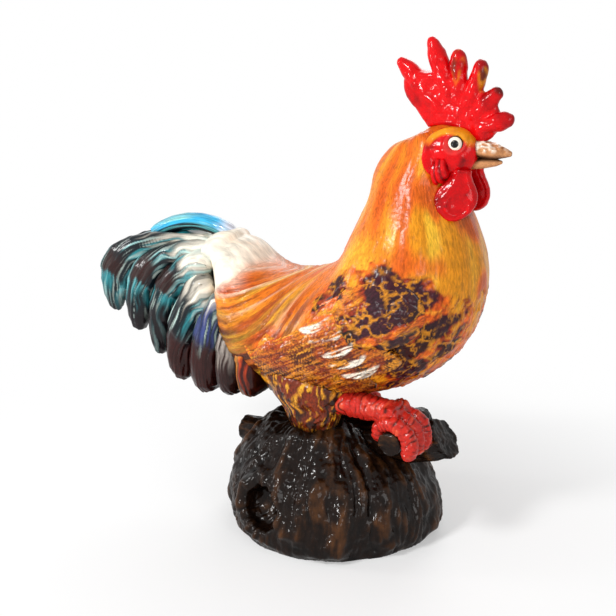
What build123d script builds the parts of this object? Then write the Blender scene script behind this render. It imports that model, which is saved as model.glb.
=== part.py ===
from build123d import *
import os
from math import cos, radians, sin

# Rooster figure on a tree stump, put together from separate castings.
# +X runs towards the beak, -Y is the bird's right flank, +Z is up, and the
# origin is on the stump's underside. All sizes are in millimetres.

# Stump
STUMP_HEIGHT = 66.0
STUMP_FOOT_RADIUS = 63.0
STUMP_WAIST_RADIUS = 65.5
STUMP_BROW_RADIUS = 50.0
STUMP_TOP_RADIUS = 29.0
STUMP_LEAN_X = -8.0
STUMP_LEAN_Y = -10.0
RIDGE_COUNT = 15
RIDGE_BULGE = 2.6
RIDGE_TWIST = 18.0
# waves round the trunk, share of the radius, turn of the crest in degrees
TRUNK_WAVES = ((1, 0.04, 206), (2, 0.035, -34), (3, 0.03, 69))
KNOT_RADIUS = 15.0
KNOT_TURN = -106.0
KNOT_HEIGHT = 27.0

# Branches that carry the right foot, and a stub at the back
PERCH_RADIUS = 7.5
PERCH_NEAR_RADIUS = 6.9
PERCH_FAR_RADIUS = 8.2
PERCH_FORWARD = 55.0
PERCH_LIFT = 9.0
PERCH_NEAR_END = 41.0
PERCH_FAR_END = 4.0
LOG_SIDES = 7
LOG_ROOT_RADIUS = 16.0
LOG_TIP_RADIUS = 12.6
LOG_REACH = 78.0
LOG_TIP_LIFT = 3.0
LOG_ROOT_DROP = 18.0
LOG_CUT_BACK = 6.0
LOG_CUT_SLOPE = 0.7
STUB_ROOT_RADIUS = 11.0
STUB_RADIUS = 8.5
STUB_REACH = 65.0
STUB_HEIGHT = 48.0
STUB_SIDE = 6.0

# Torso and neck, as ovals that swing about one pivot over the back
PIVOT_X = -25.0
PIVOT_RISE = 149.0
# swing from straight down, inner radius, outer radius, half width
TORSO_SECTIONS = (
    (-48, 60, 93, 20),
    (-25, 58, 112, 36),
    (0, 56, 127, 47),
    (28, 49, 136, 52),
    (50, 44, 138, 51),
    (68, 45, 126, 44),
    (84, 48, 107, 33),
    (96, 51, 99, 24),
    (105, 57, 103, 18),
    (113, 66, 100, 12),
)
REAR_SECTION_COUNT = 6

# Head
HEAD_FORWARD = 93.0
HEAD_LIFT = 25.0
HEAD_LENGTH = 38.0
HEAD_WIDTH = 30.0
FACE_RADIUS = 13.5
FACE_FORWARD = 5.5
FACE_RELIEF = 2.2
EYE_RADIUS = 4.4
EYE_FORWARD = 9.0
EYE_LIFT = 6.0
EYE_SIDE = 12.0
EARLOBE_LENGTH = 15.0
EARLOBE_WIDTH = 10.0
EARLOBE_FORWARD = 2.0
EARLOBE_SIDE = 16.0
EARLOBE_DROP = 9.0
WATTLE_DROP = 26.0
WATTLE_WIDTH = 22.0
WATTLE_THICKNESS = 9.0
WATTLE_SIDE = 16.0
WATTLE_FORWARD = 10.0
WATTLE_DISH_RADIUS = 15.0
WATTLE_DISH_DEPTH = 2.0
JAW_FORWARD = 12.0
JAW_SIDE = 9.0
JAW_DROP = 9.0
BEAK_REACH = 37.0
BEAK_WIDTH = 15.0
BEAK_HEIGHT = 10.0
BEAK_DROOP = 1.0
LOWER_BEAK_REACH = 32.0
LOWER_BEAK_WIDTH = 12.75
LOWER_BEAK_HEIGHT = 6.5
MOUTH_DROP = 2.0
MOUTH_GAP = 1.0
COMB_THICKNESS = 9.0
COMB_FINGER_WIDTH = 9.6

# Wings, in layers that follow the flank
WING_INSET = 32.0
WING_DEPTH = 60.0
FEATHER_STEP = 0.3
PRIMARY_COUNT = 6
PRIMARY_RELIEF = 1.6
PRIMARY_WIDTH = 12.5
COVERT_COUNT = 5
COVERT_RELIEF = 3.4
COVERT_WIDTH = 12.5
SHOULDER_RELIEF = 5.4
SHOULDER_WIDTH = 38.0

# Tail
TAIL_CORE_HALF = 6.0
TAIL_CORE_CLEARANCE = 5.0
TAIL_SEAT = 0.2
FEATHER_GAP = 0.4
FEATHER_SHOULDER = 0.5
FEATHER_CROWN = 0.9
TOP_SICKLE_WIDTH = 11.5
TOP_SICKLE_THICKNESS = 15.0

# Legs: the right foot grips the perch, the left foot stands on the stump
THIGH_BACK = 2.0
THIGH_SIDE = 26.0
LEFT_LEG_BACK = 8.0
SHANK_RADIUS = 7.5
FOOT_SIDE = 29.0
TOE_RADIUS = 4.6
TOE_SPACING = 10.0
TOE_WRAP = 118.0
HALLUX_WRAP = 80.0
KNUCKLE_TURN = 100.0
TOE_ROOT_TURN = 9.0
KNUCKLE_LIFT = 3.0
KNUCKLE_RADIUS = 6.0
GRIP_GAP = 0.2
LEFT_TOE_LENGTH = 24.0
LEFT_TOE_FALL = 13.0
LEFT_TOE_TURNS = (10, 35, 60)

# Steel rods and pins inside the joints
LEG_ROD_RADIUS = 3.0
LEG_ROD_LENGTH = 76.0
LEG_ROD_SINK = 30.0
TAIL_DOWEL_RADIUS = 4.0
COMB_PIN_RADIUS = 1.6
COMB_PIN_LENGTH = 20.0
COMB_PIN_SPACING = 14.0

TOP = Vector(0, 0, STUMP_HEIGHT)
PIVOT = TOP + Vector(PIVOT_X, 0, PIVOT_RISE)
HEAD = PIVOT + Vector(HEAD_FORWARD, 0, HEAD_LIFT)
PERCH = TOP + Vector(PERCH_FORWARD, 0, PERCH_LIFT)
LOG_ROOT = TOP - Vector(0, 0, LOG_ROOT_DROP)
LOG_TIP = TOP + Vector(LOG_REACH, 0, LOG_TIP_LIFT)
RIGHT_THIGH = TOP + Vector(-THIGH_BACK, -THIGH_SIDE, 0)
LEFT_THIGH = TOP + Vector(-THIGH_BACK - LEFT_LEG_BACK, THIGH_SIDE, 0)

os.makedirs("parts", exist_ok=True)


def save(shape, name):
    shape.label = name
    export_step(shape, f"parts/{name}.step")


def save_pair(shape, name):
    """Writes a right-hand piece and its mirror image on the left."""
    save(shape, f"{name}_right")
    with BuildPart() as twin:
        mirror(shape, about=Plane.XZ)
    save(twin.part, f"{name}_left")


def oval(plane, x_radius, y_radius, shift=0.0):
    """An oval of four quarter arcs, so that every section of a loft has the same corners."""
    with BuildSketch(plane) as sketch:
        with BuildLine():
            for start in (0, 90, 180, 270):
                EllipticalCenterArc((shift, 0), x_radius, y_radius, start, arc_size=90)
        make_face()
    return sketch.sketch


def spheroid(center, along, half_length, radius):
    """A solid of revolution about one long axis."""
    along = Vector(*along).normalized()
    side = Vector(0, 0, 1) if abs(along.Y) > 0.5 else Vector(0, 1, 0)
    with BuildPart() as solid:
        with BuildSketch(Plane(origin=center, x_dir=along, z_dir=along.cross(side))):
            with BuildLine():
                rim = EllipticalCenterArc((0, 0), half_length, radius, 0, arc_size=180)
                Line(rim @ 1, rim @ 0)
            make_face()
        revolve(axis=Axis(center, along))
    return solid.part


def bar(start, start_radius, end, end_radius):
    """A round bar between two points whose radius may change along it."""
    along = end - start
    with BuildPart() as solid:
        loft([oval(Plane(origin=start, z_dir=along), start_radius, start_radius),
              oval(Plane(origin=end, z_dir=along), end_radius, end_radius)])
    return solid.part


def swing_plane(swing):
    """The plane through the pivot that cuts the torso at one swing angle."""
    angle = radians(swing)
    return Plane(origin=PIVOT, x_dir=(sin(angle), 0, -cos(angle)), z_dir=(cos(angle), 0, sin(angle)))


def trunk(grow, sections):
    """The bird's trunk through some of its sections, grown outwards by an even amount."""
    with BuildPart() as shape:
        loft([
            oval(swing_plane(swing), (outer - inner) / 2 + grow, half_width + grow, (inner + outer) / 2)
            for swing, inner, outer, half_width in sections
        ])
    return shape.part


def torso(grow):
    """Torso, neck and head, grown outwards by an even amount."""
    with BuildPart() as shape:
        add(trunk(grow, TORSO_SECTIONS))
        add(spheroid(HEAD, (1, 0, 0), HEAD_LENGTH / 2 + grow, HEAD_WIDTH / 2 + grow))
    return shape.part


def bent_line(root, bend, tip, share):
    """A point on the quadratic curve that runs from root to tip and leans towards bend."""
    return root * (1 - share) ** 2 + bend * (2 * share * (1 - share)) + tip * share ** 2


def spread(first, last, count, number):
    """One of several evenly spread points from first to last."""
    return first + (last - first) * (number / (count - 1))


plain_torso = torso(0.0)
rear_trunk = trunk(TAIL_SEAT, TORSO_SECTIONS[:REAR_SECTION_COUNT])

# Steel rods and pins come first, because the castings are bored for them
with BuildPart() as leg_rods:
    for ankle in (RIGHT_THIGH, LEFT_THIGH):
        low = ankle - Vector(0, 0, LEG_ROD_SINK)
        add(bar(low, LEG_ROD_RADIUS, low + Vector(0, 0, LEG_ROD_LENGTH), LEG_ROD_RADIUS))
save(leg_rods.part, "leg_rods")

# ends of the dowel, measured from the pivot
TAIL_DOWEL_FRONT = Vector(-40, 0, -58)
TAIL_DOWEL_REAR = Vector(-75, 0, -65)
with BuildPart() as tail_dowel:
    add(bar(PIVOT + TAIL_DOWEL_FRONT, TAIL_DOWEL_RADIUS, PIVOT + TAIL_DOWEL_REAR, TAIL_DOWEL_RADIUS))
save(tail_dowel.part, "tail_dowel")

with BuildPart() as comb_pins:
    for side in (-1, 1):
        low = HEAD + Vector(side * COMB_PIN_SPACING / 2, 0, HEAD_WIDTH / 2 - COMB_PIN_LENGTH / 2)
        add(bar(low, COMB_PIN_RADIUS, low + Vector(0, 0, COMB_PIN_LENGTH), COMB_PIN_RADIUS))
save(comb_pins.part, "comb_pins")


# Branches
def hewn_ring(center, radius):
    """One many-sided section of the hewn log, square to its length."""
    with BuildSketch(Plane(origin=center, x_dir=(0, 1, 0), z_dir=LOG_TIP - LOG_ROOT)) as ring:
        RegularPolygon(radius, LOG_SIDES, rotation=90)
    return ring.sketch


with BuildPart() as perch_branch:
    add(bar(PERCH - Vector(0, PERCH_NEAR_END, 0), PERCH_NEAR_RADIUS,
            PERCH + Vector(0, PERCH_FAR_END, 0), PERCH_FAR_RADIUS))
save(perch_branch.part, "perch_branch")

with BuildPart() as log_branch:
    loft([hewn_ring(LOG_ROOT, LOG_ROOT_RADIUS), hewn_ring(LOG_TIP, LOG_TIP_RADIUS)], ruled=True)
    cut_face = Plane(origin=LOG_TIP - Vector(LOG_CUT_BACK, 0, 0), z_dir=(1, 0, LOG_CUT_SLOPE))
    split(bisect_by=cut_face, keep=Keep.BOTTOM)
    add(perch_branch.part, mode=Mode.SUBTRACT)
save(log_branch.part, "log_branch")

with BuildPart() as stub_branch:
    stub_tip = Vector(-STUB_REACH, -STUB_SIDE, STUB_HEIGHT)
    add(bar(Vector(-STUMP_TOP_RADIUS, -STUB_SIDE, STUB_HEIGHT), STUB_ROOT_RADIUS, stub_tip, STUB_RADIUS))
save(stub_branch.part, "stub_branch")


# Stump
def bark_ring(share, radius):
    """A ring of bark ridges at one share of the height: outward arcs that meet in grooves."""
    corners = []
    for ridge in range(RIDGE_COUNT):
        turn = 360 * ridge / RIDGE_COUNT + RIDGE_TWIST * share
        wave = sum(size * cos(radians(count * turn - crest_turn)) for count, size, crest_turn in TRUNK_WAVES)
        reach = radius * (1 + wave)
        x = reach * cos(radians(turn)) + STUMP_LEAN_X * share ** 2
        y = reach * sin(radians(turn)) + STUMP_LEAN_Y * share ** 2
        corners.append((x, y))
    with BuildSketch(Plane.XY.offset(STUMP_HEIGHT * share)) as ring:
        with BuildLine():
            for start, end in zip(corners, corners[1:] + corners[:1]):
                SagittaArc(start, end, -RIDGE_BULGE)
        make_face()
    return ring.sketch


with BuildPart() as stump_base:
    loft([
        bark_ring(0.0, STUMP_FOOT_RADIUS),
        bark_ring(0.15, STUMP_WAIST_RADIUS),
        bark_ring(0.42, STUMP_WAIST_RADIUS * 0.97),
        bark_ring(0.74, STUMP_BROW_RADIUS),
        bark_ring(1.0, STUMP_TOP_RADIUS),
    ])
    knot_angle = radians(KNOT_TURN)
    knot_distance = STUMP_WAIST_RADIUS
    with Locations((knot_distance * cos(knot_angle), knot_distance * sin(knot_angle), KNOT_HEIGHT)):
        Sphere(KNOT_RADIUS, mode=Mode.SUBTRACT)
    for neighbour in (leg_rods, log_branch, stub_branch):
        add(neighbour.part, mode=Mode.SUBTRACT)
save(stump_base.part, "stump_base")

# Eyes, which sit in sockets in the head
eye_center = HEAD + Vector(EYE_FORWARD, -EYE_SIDE, EYE_LIFT)
with BuildPart() as eye:
    add(spheroid(eye_center, (0, 1, 0), EYE_RADIUS, EYE_RADIUS))
save_pair(eye.part, "eye")

# Torso, neck and head as one casting, bored for the rods and pins
with BuildPart() as body:
    add(plain_torso)
    for inner_piece in (leg_rods, tail_dowel, comb_pins, eye):
        add(inner_piece.part, mode=Mode.SUBTRACT)
    mirror(eye.part, about=Plane.XZ, mode=Mode.SUBTRACT)
save(body.part, "body")

# Beak
# share of the reach, share of the width, share of the height
BEAK_STATIONS = ((0.2, 1.0, 1.0), (0.55, 0.85, 0.9), (0.82, 0.5, 0.6), (1.0, 0.12, 0.2))


def beak_sections(reach, width, height, rise, droop):
    """Ovals along one half of the beak, from inside the head to the tip."""
    sections = []
    for share, breadth, depth in BEAK_STATIONS:
        center = HEAD + Vector(reach * share, 0, rise - droop * share ** 3)
        plane = Plane(origin=center, x_dir=(0, 1, 0), z_dir=(1, 0, 0))
        sections.append(oval(plane, width * breadth / 2, height * depth / 2))
    return sections


upper_rise = BEAK_HEIGHT / 2 - MOUTH_DROP
with BuildPart() as upper_beak:
    loft(beak_sections(BEAK_REACH, BEAK_WIDTH, BEAK_HEIGHT, upper_rise, BEAK_DROOP))
    add(plain_torso, mode=Mode.SUBTRACT)
save(upper_beak.part, "upper_beak")

lower_rise = -MOUTH_DROP - MOUTH_GAP - LOWER_BEAK_HEIGHT / 2
with BuildPart() as lower_beak:
    loft(beak_sections(LOWER_BEAK_REACH, LOWER_BEAK_WIDTH, LOWER_BEAK_HEIGHT, lower_rise, -BEAK_DROOP))
    add(plain_torso, mode=Mode.SUBTRACT)
save(lower_beak.part, "lower_beak")

# Face patches that hug the sides of the head, round the root of the beak
with BuildPart() as face:
    with BuildSketch(Plane(origin=HEAD + Vector(FACE_FORWARD, 0, 0), x_dir=(1, 0, 0), z_dir=(0, -1, 0))):
        Circle(FACE_RADIUS)
    extrude(amount=HEAD_WIDTH)
    add(torso(FACE_RELIEF), mode=Mode.INTERSECT)
    add(plain_torso, mode=Mode.SUBTRACT)
    for neighbour in (eye, upper_beak, lower_beak):
        add(neighbour.part, mode=Mode.SUBTRACT)
save_pair(face.part, "face")

# Earlobes below the face
earlobe_center = HEAD + Vector(EARLOBE_FORWARD, -EARLOBE_SIDE, -EARLOBE_DROP)
with BuildPart() as earlobe:
    add(spheroid(earlobe_center, (0.2, 0, 1), EARLOBE_LENGTH / 2, EARLOBE_WIDTH / 2))
    add(plain_torso, mode=Mode.SUBTRACT)
    add(face.part, mode=Mode.SUBTRACT)
save_pair(earlobe.part, "earlobe")

# Wattles: spoons that hang from the jaw and turn a little forwards
# share of the drop, share of the width, share of the thickness
WATTLE_PROFILE = (
    (0.0, 0.45, 0.9),
    (0.2, 0.6, 0.9),
    (0.5, 0.98, 1.0),
    (0.75, 0.95, 1.0),
    (0.93, 0.55, 0.7),
    (1.0, 0.2, 0.3),
)
WATTLE_ALONG = Vector(0.91, 0.41, 0)
WATTLE_OUTWARD = Vector(0.41, -0.91, 0)
WATTLE_DISH_SHARE = 0.62
jaw = HEAD + Vector(JAW_FORWARD, -JAW_SIDE, -JAW_DROP)
wattle_foot = HEAD + Vector(WATTLE_FORWARD, -WATTLE_SIDE, -JAW_DROP - WATTLE_DROP)
with BuildPart() as wattle:
    loft([
        oval(Plane(origin=jaw + (wattle_foot - jaw) * share, x_dir=WATTLE_ALONG, z_dir=(0, 0, -1)),
             WATTLE_WIDTH * breadth / 2, WATTLE_THICKNESS * depth / 2)
        for share, breadth, depth in WATTLE_PROFILE
    ])
    dish_rise = WATTLE_THICKNESS / 2 + WATTLE_DISH_RADIUS - WATTLE_DISH_DEPTH
    with Locations(jaw + (wattle_foot - jaw) * WATTLE_DISH_SHARE + WATTLE_OUTWARD * dish_rise):
        Sphere(WATTLE_DISH_RADIUS, mode=Mode.SUBTRACT)
    add(plain_torso, mode=Mode.SUBTRACT)
    for neighbour in (face, earlobe, lower_beak):
        add(neighbour.part, mode=Mode.SUBTRACT)
save_pair(wattle.part, "wattle")

# Comb: six fingers that spread from one root, on a blade that saddles the head
# places measured from the middle of the head, forwards and up
COMB_ROOT = Vector(7, 0, 12)
COMB_TIPS = ((-30.5, 47.5), (-12, 60), (3.6, 53.3), (17.6, 48.6), (28.5, 34.5), (36, 20))
# rise, middle, half length
COMB_BLADE = ((4, 3, 12), (14, 7, 21), (25, 2.5, 24.5), (36, -6.5, 20), (41, -12, 10))
# share of the length, share of the finger's width
COMB_FINGER = ((0.3, 1.35), (0.57, 1.0), (0.76, 0.82), (0.93, 0.52), (1.0, 0.2))


def comb_finger(tip_place):
    """A rounded finger from the root of the comb to one tip."""
    reach = Vector(tip_place[0], 0, tip_place[1]) - COMB_ROOT
    sections = []
    for share, breadth in COMB_FINGER:
        plane = Plane(origin=HEAD + COMB_ROOT + reach * share, x_dir=reach.cross(Vector(0, 1, 0)), z_dir=reach)
        sections.append(oval(plane, COMB_FINGER_WIDTH * breadth / 2, COMB_THICKNESS * min(breadth, 1) / 2))
    with BuildPart() as finger:
        loft(sections)
    return finger.part


with BuildPart() as comb:
    loft([
        oval(Plane(origin=HEAD + Vector(middle, 0, rise), x_dir=(1, 0, 0), z_dir=(0, 0, 1)),
             half_length, COMB_THICKNESS / 2)
        for rise, middle, half_length in COMB_BLADE
    ])
    for tip_place in COMB_TIPS:
        add(comb_finger(tip_place))
    for neighbour in (body, comb_pins, upper_beak, face):
        add(neighbour.part, mode=Mode.SUBTRACT)
    mirror(face.part, about=Plane.XZ, mode=Mode.SUBTRACT)
save(comb.part, "comb")


# Wings
def flank_patch(front, rear, width, relief):
    """A rounded patch between two points of the side view, standing proud of the right flank."""
    along = front - rear
    side_view = Plane(origin=PIVOT + Vector(rear.X, 0, rear.Y), x_dir=(along.X, 0, along.Y), z_dir=(0, -1, 0))
    with BuildPart() as patch:
        with BuildSketch(side_view.offset(WING_INSET)):
            with Locations((along.length / 2, 0)):
                SlotCenterToCenter(along.length, width)
        extrude(amount=WING_DEPTH)
        add(torso(relief), mode=Mode.INTERSECT)
    return patch.part


def feather_row(low, high, count, width, relief):
    """A row of rounded feathers on the right flank, each lying a little over the one below."""
    with BuildPart() as row:
        for number in range(count):
            front = spread(low[0], high[0], count, number)
            rear = spread(low[1], high[1], count, number)
            add(flank_patch(front, rear, width, relief + FEATHER_STEP * number))
    return row.part


# front and rear of the lowest and highest feather in the side view, measured from the pivot
PRIMARY_LOW = (Vector(62, -106), Vector(17, -126))
PRIMARY_HIGH = (Vector(28, -66), Vector(-17, -91))
COVERT_LOW = (Vector(80, -87), Vector(58, -99))
COVERT_HIGH = (Vector(58, -56), Vector(28, -72))
SHOULDER_FRONT = Vector(80, -60)
SHOULDER_REAR = Vector(66, -64)
with BuildPart() as wing_primaries:
    add(feather_row(PRIMARY_LOW, PRIMARY_HIGH, PRIMARY_COUNT, PRIMARY_WIDTH, PRIMARY_RELIEF))
    add(plain_torso, mode=Mode.SUBTRACT)
save_pair(wing_primaries.part, "wing_primaries")

with BuildPart() as wing_coverts:
    add(feather_row(COVERT_LOW, COVERT_HIGH, COVERT_COUNT, COVERT_WIDTH, COVERT_RELIEF))
    add(plain_torso, mode=Mode.SUBTRACT)
    add(wing_primaries.part, mode=Mode.SUBTRACT)
save_pair(wing_coverts.part, "wing_coverts")

with BuildPart() as wing_shoulder:
    add(flank_patch(SHOULDER_FRONT, SHOULDER_REAR, SHOULDER_WIDTH, SHOULDER_RELIEF))
    add(plain_torso, mode=Mode.SUBTRACT)
    for neighbour in (wing_coverts, wing_primaries):
        add(neighbour.part, mode=Mode.SUBTRACT)
save_pair(wing_shoulder.part, "wing_shoulder")

# Tail: sickle feathers on both sides of a flat core, from the topmost down to the saddle
# root, bend and tip on the crest of each right-hand feather, measured from the pivot
SICKLES = (
    ((-48, -10, -45), (-150, -13, -38), (-142, -12, -100)),
    ((-47, -13, -50), (-122, -18, -42), (-120, -17, -112)),
    ((-46, -17, -54), (-104, -22, -58), (-100, -21, -116)),
    ((-41, -22, -60), (-90, -27, -92), (-86, -27, -143)),
    ((-31, -28, -66), (-62, -33, -92), (-55, -33, -139)),
    ((-23, -33, -74), (-38, -38, -99), (-34, -38, -135)),
    ((-15, -37, -78), (-22, -42, -103), (-18, -42, -132)),
)
REAR_SICKLES = 4
# share of the length, share of the full breadth, share of the full height
SICKLE_STATIONS = (
    (0.0, 0.7, 0.7),
    (0.15, 1.0, 1.0),
    (0.3, 1.0, 1.0),
    (0.45, 1.0, 1.0),
    (0.6, 1.0, 1.0),
    (0.75, 0.96, 1.0),
    (0.87, 0.85, 0.97),
    (0.95, 0.65, 0.9),
    (1.0, 0.35, 0.75),
)


def crest(number, share):
    """A point on the crest line of one feather; lines past either end of the row are extrapolated."""
    if 0 <= number < len(SICKLES):
        return bent_line(*[PIVOT + Vector(*place) for place in SICKLES[number]], share)
    inner = 0 if number < 0 else len(SICKLES) - 1
    return crest(inner, share) * 2 - crest(2 * inner - number, share)


def sickle_section(number, share, breadth, height):
    """A flat-backed section of one feather, between the middles of the gaps to its neighbours."""
    middle = crest(number, share)
    upper = (crest(number - 1, share) + middle) * 0.5
    lower = (crest(number + 1, share) + middle) * 0.5
    across = Vector(lower.X - upper.X, 0, lower.Z - upper.Z)
    half = across.length / 2 * breadth - FEATHER_GAP
    rise = (-middle.Y - TAIL_CORE_HALF) * height
    shoulder = max(rise * FEATHER_SHOULDER, rise - half * FEATHER_CROWN)
    plane = Plane(origin=((upper.X + lower.X) / 2, -TAIL_CORE_HALF, (upper.Z + lower.Z) / 2),
                  x_dir=across, z_dir=across.cross(Vector(0, -1, 0)))
    with BuildSketch(plane) as section:
        with BuildLine():
            Polyline((-half, shoulder), (-half, 0), (half, 0), (half, shoulder))
            ThreePointArc((half, shoulder), (0, rise), (-half, shoulder))
        make_face()
    return section.sketch


# The core's outline runs under the first sickle, along the tips and back behind the trunk
CORE_TOP_SHARES = (0.1, 0.2, 0.4, 0.6)
CORE_TIP_SHARE = 0.8
with BuildPart() as tail_core:
    with BuildSketch(Plane.XZ.offset(-TAIL_CORE_HALF)):
        with BuildLine():
            rim = [(crest(-1, share) + crest(0, share)) * 0.5 for share in CORE_TOP_SHARES]
            rim += [crest(number, CORE_TIP_SHARE) for number in range(len(SICKLES) - 1)]
            for swing, inner, outer, half_width in reversed(TORSO_SECTIONS[:2]):
                rim.append(PIVOT + swing_plane(swing).x_dir * (outer + TAIL_CORE_CLEARANCE))
            tail_swing, tail_inner, tail_outer, tail_half_width = TORSO_SECTIONS[0]
            rear_face = swing_plane(tail_swing)
            rear_middle = PIVOT + rear_face.x_dir * ((tail_inner + tail_outer) / 2)
            rim.append(rear_middle - rear_face.z_dir * TAIL_SEAT)
            Polyline(*[(place.X, place.Z) for place in rim], close=True)
        make_face()
    extrude(amount=2 * TAIL_CORE_HALF)
    add(tail_dowel.part, mode=Mode.SUBTRACT)
save(tail_core.part, "tail_core")

sickles = []
for number in range(len(SICKLES)):
    with BuildPart() as sickle:
        loft([sickle_section(number, *station) for station in SICKLE_STATIONS], ruled=True)
        add(rear_trunk if number < REAR_SICKLES else plain_torso, mode=Mode.SUBTRACT)
        if number > REAR_SICKLES:
            add(wing_primaries.part, mode=Mode.SUBTRACT)
    sickles.append(sickle)
    save_pair(sickle.part, f"tail_sickle_{number + 1}")

# The topmost feather lies on the core, between the first sickles of both sides
TOP_SICKLE = ((-46, 0, -41), (-76, 0, -22), (-112, 0, -45))
with BuildPart() as top_sickle:
    root, bend, tip = [PIVOT + Vector(*place) for place in TOP_SICKLE]
    sections = []
    for share, breadth, height in SICKLE_STATIONS:
        along = (bend - root) * (1 - share) + (tip - bend) * share
        plane = Plane(origin=bent_line(root, bend, tip, share), x_dir=(0, 1, 0), z_dir=along)
        sections.append(oval(plane, TOP_SICKLE_WIDTH / 2 * breadth, TOP_SICKLE_THICKNESS / 2 * height))
    loft(sections, ruled=True)
    add(rear_trunk, mode=Mode.SUBTRACT)
    add(tail_core.part, mode=Mode.SUBTRACT)
save(top_sickle.part, "top_sickle")

# Thighs, feathered down to the stump
# rise above the stump, backward shift, half length along the body, half width across it
THIGH_SECTIONS = (
    (-12, 0, 12, 10.5),
    (0, 0, 13, 12),
    (12, 1, 17, 14),
    (26, 4, 25, 17),
    (42, 8, 33, 19),
    (54, 10, 33, 18),
)


def thigh(ankle):
    """A feathered thigh above one ankle, set into the body and onto the stump."""
    with BuildPart() as leg:
        loft([
            oval(Plane(origin=ankle + Vector(-back, 0, rise), x_dir=(1, 0, 0), z_dir=(0, 0, 1)), along, across)
            for rise, back, along, across in THIGH_SECTIONS
        ])
        add(plain_torso, mode=Mode.SUBTRACT)
        for neighbour in (stump_base, leg_rods, log_branch):
            add(neighbour.part, mode=Mode.SUBTRACT)
    return leg.part


with BuildPart() as thigh_right:
    add(thigh(RIGHT_THIGH))
    for neighbour in (wing_primaries, *sickles[-2:]):
        add(neighbour.part, mode=Mode.SUBTRACT)
save(thigh_right.part, "thigh_right")

with BuildPart() as thigh_left:
    add(thigh(LEFT_THIGH))
    for neighbour in (wing_primaries, *sickles[-2:]):
        mirror(neighbour.part, about=Plane.XZ, mode=Mode.SUBTRACT)
save(thigh_left.part, "thigh_left")

# Right foot, whose toes wrap round the perch
GRIP_RADIUS = PERCH_RADIUS + TOE_RADIUS + GRIP_GAP
RIGHT_HOCK = Vector(12, 0, 24)


def grip_point(turn, side, lift=0.0):
    """A point on the toes' path round the perch, or lifted off it."""
    reach = GRIP_RADIUS + lift
    return PERCH + Vector(reach * cos(radians(turn)), side, reach * sin(radians(turn)))


def toe(side, back, front):
    """One toe round the perch, from one turn to the other, with rounded ends."""
    start = grip_point(back, side)
    radial = start - PERCH - Vector(0, side, 0)
    with BuildPart() as digit:
        with BuildSketch(Plane(origin=start, x_dir=radial, z_dir=radial.cross(Vector(0, 1, 0)))):
            Circle(TOE_RADIUS)
        revolve(axis=Axis(PERCH, (0, 1, 0)), revolution_arc=back - front)
        with Locations(start, grip_point(front, side)):
            Sphere(TOE_RADIUS)
    return digit.part


with BuildPart() as foot_right:
    knuckle = grip_point(KNUCKLE_TURN, -FOOT_SIDE, KNUCKLE_LIFT)
    add(toe(-FOOT_SIDE, KNUCKLE_TURN + HALLUX_WRAP, KNUCKLE_TURN - TOE_WRAP))
    for side in (-FOOT_SIDE - TOE_SPACING, -FOOT_SIDE + TOE_SPACING):
        add(toe(side, KNUCKLE_TURN + TOE_ROOT_TURN, KNUCKLE_TURN - TOE_WRAP))
    span = Vector(0, TOE_SPACING, 0)
    add(bar(knuckle - span, KNUCKLE_RADIUS, knuckle + span, KNUCKLE_RADIUS))
    add(bar(RIGHT_THIGH + RIGHT_HOCK, SHANK_RADIUS * 1.1, knuckle, SHANK_RADIUS * 0.95))
    add(plain_torso, mode=Mode.SUBTRACT)
    add(thigh_right.part, mode=Mode.SUBTRACT)
save(foot_right.part, "foot_right")

# Left foot, which stands on the stump behind the log
LEFT_HOCK = Vector(10, 0, 13)
LEFT_HEEL = Vector(26, 0, -3)
with BuildPart() as foot_left:
    heel = LEFT_THIGH + LEFT_HEEL
    add(bar(LEFT_THIGH + LEFT_HOCK, SHANK_RADIUS * 1.1, heel, SHANK_RADIUS * 0.95))
    with Locations(heel):
        Sphere(SHANK_RADIUS)
    for turn in LEFT_TOE_TURNS:
        reach = Vector(cos(radians(turn)), sin(radians(turn)), 0) * LEFT_TOE_LENGTH
        toe_end = heel + reach - Vector(0, 0, LEFT_TOE_FALL)
        add(bar(heel, TOE_RADIUS * 1.1, toe_end, TOE_RADIUS * 0.85))
        with Locations(toe_end):
            Sphere(TOE_RADIUS * 0.88)
    for neighbour in (thigh_left, stump_base, log_branch, leg_rods):
        add(neighbour.part, mode=Mode.SUBTRACT)
save(foot_left.part, "foot_left")
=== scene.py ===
"""Looks of a painted and varnished rooster figure on a tree stump."""
import math

import bpy
import numpy as np
from mathutils import Matrix, Vector


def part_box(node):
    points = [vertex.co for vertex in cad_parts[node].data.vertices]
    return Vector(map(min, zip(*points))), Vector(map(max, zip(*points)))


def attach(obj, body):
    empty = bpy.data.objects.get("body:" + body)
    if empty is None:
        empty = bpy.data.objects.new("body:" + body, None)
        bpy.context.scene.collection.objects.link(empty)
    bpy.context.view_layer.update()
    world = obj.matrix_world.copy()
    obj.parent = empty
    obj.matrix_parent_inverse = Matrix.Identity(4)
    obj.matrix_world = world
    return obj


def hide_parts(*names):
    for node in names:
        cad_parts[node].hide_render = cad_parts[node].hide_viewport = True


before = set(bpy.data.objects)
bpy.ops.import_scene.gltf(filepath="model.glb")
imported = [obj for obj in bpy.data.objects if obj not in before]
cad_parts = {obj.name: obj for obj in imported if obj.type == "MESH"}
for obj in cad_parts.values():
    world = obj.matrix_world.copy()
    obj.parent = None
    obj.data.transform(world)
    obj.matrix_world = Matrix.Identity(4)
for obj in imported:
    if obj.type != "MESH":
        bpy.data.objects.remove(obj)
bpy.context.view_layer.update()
scene = bpy.context.scene
MM = 0.001
DRAFT = 1.0
HANDS = ("right", "left")
MIRROR = np.array((1.0, -1.0, 1.0))

# Lengths are millimetres, with the beak towards +X and the seen flank towards -Y
PIVOT = np.array((-25.0, 0.0, 215.0))


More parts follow.
